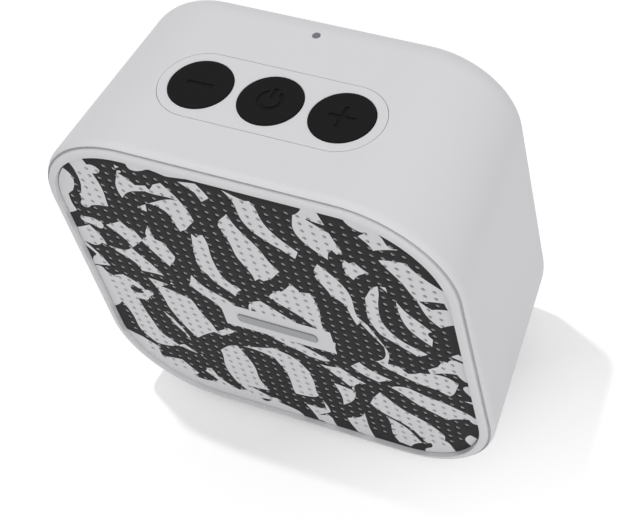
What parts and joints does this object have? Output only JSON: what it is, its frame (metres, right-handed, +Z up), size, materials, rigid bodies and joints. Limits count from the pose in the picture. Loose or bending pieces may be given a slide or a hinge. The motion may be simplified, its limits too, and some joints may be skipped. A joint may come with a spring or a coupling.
{
  "type": "smart speaker",
  "caption": "Small rounded-square desktop loudspeaker with a perforated patterned front, three round top keys and rear charging and audio sockets.",
  "frame": {"origin": "middle of the bounding box, on the surface that the rubber feet stand on", "axes": "+Z up, the grille faces -Y, +X to the right as seen from the front"},
  "size_m": [0.0844, 0.044, 0.0859],
  "materials": {
    "white_abs": "fine spark texture, matte",
    "bezel_abs": "fine spark texture, matte",
    "plate_abs": "fine spark texture, matte",
    "grille_sheet": "white powder coat with a black printed pattern",
    "black_cloth": "woven acoustic cloth",
    "badge_metal": "brushed",
    "black_abs": "moulded",
    "zinc_screw": "zinc plated",
    "key_rubber": "matte silicone",
    "plunger_nylon": "moulded",
    "switch_steel": "stamped cover",
    "circuit_board": "solder mask",
    "socket_nylon": "moulded",
    "light_pipe_smoke": "smoked translucent",
    "led_body": "moulded",
    "can_metal": "plated can",
    "soft_rubber": "moulded",
    "foam_gasket": "closed-cell foam",
    "frame_steel": "black coated",
    "plated_steel": "zinc plated",
    "ferrite": "ground ferrite",
    "spider_cloth": "impregnated cloth",
    "cone_paper": "pressed paper",
    "coil_copper": "enamelled wire",
    "tag_board": "phenolic board",
    "lead_jacket": "jacket",
    "chip_epoxy": "moulded epoxy",
    "port_shell": "drawn shell",
    "jack_nylon": "moulded",
    "cell_wrap": "foil pouch",
    "foot_rubber": "matte"
  },
  "bodies": {
    "root": {"housing": "white_abs", "front_bezel": "bezel_abs", "grille": "grille_sheet", "grille_cloth": "black_cloth", "badge": "badge_metal", "baffle": "black_abs", "baffle_screws": "zinc_screw", "button_plate": "plate_abs", "switch_bodies": "switch_steel", "button_board": "circuit_board", "button_board_screws": "zinc_screw", "button_board_socket": "socket_nylon", "light_pipe": "light_pipe_smoke", "status_led": "led_body", "microphone": "can_metal", "mic_boot": "soft_rubber", "driver_gasket": "foam_gasket", "driver_frame": "frame_steel", "driver_screws": "zinc_screw", "driver_top_plate": "plated_steel", "driver_magnet": "ferrite", "driver_yoke": "plated_steel", "driver_surround": "soft_rubber", "driver_spider": "spider_cloth", "driver_terminal": "tag_board", "driver_lead": "lead_jacket", "main_board": "circuit_board", "main_board_screws": "zinc_screw", "board_sockets": "socket_nylon", "board_chips": "chip_epoxy", "charging_port": "port_shell", "audio_jack": "jack_nylon", "battery": "cell_wrap", "battery_tape": "foam_gasket", "battery_lead": "lead_jacket", "button_lead": "lead_jacket", "feet": "foot_rubber"},
    "minus_key": {"button_minus": "key_rubber", "plunger_minus": "plunger_nylon"},
    "power_key": {"button_power": "key_rubber", "plunger_power": "plunger_nylon"},
    "plus_key": {"button_plus": "key_rubber", "plunger_plus": "plunger_nylon"},
    "cone_unit": {"driver_cone": "cone_paper", "driver_dust_cap": "cone_paper", "voice_coil": "coil_copper"}
  },
  "joints": [
    {"name": "minus_press", "type": "slide", "parent": "root", "child": "minus_key", "axis": [0, -0.108, -0.9942], "range_m": [0, 0.0003], "stiffness_N_per_m": 5000},
    {"name": "power_press", "type": "slide", "parent": "root", "child": "power_key", "axis": [0, -0.108, -0.9942], "range_m": [0, 0.0003], "stiffness_N_per_m": 5000},
    {"name": "plus_press", "type": "slide", "parent": "root", "child": "plus_key", "axis": [0, -0.108, -0.9942], "range_m": [0, 0.0003], "stiffness_N_per_m": 5000},
    {"name": "cone_travel", "type": "slide", "parent": "root", "child": "cone_unit", "axis": [0, -1, 0], "range_m": [-0.0015, 0.0015], "stiffness_N_per_m": 2000, "deforming": ["driver_surround", "driver_spider"]}
  ]
}
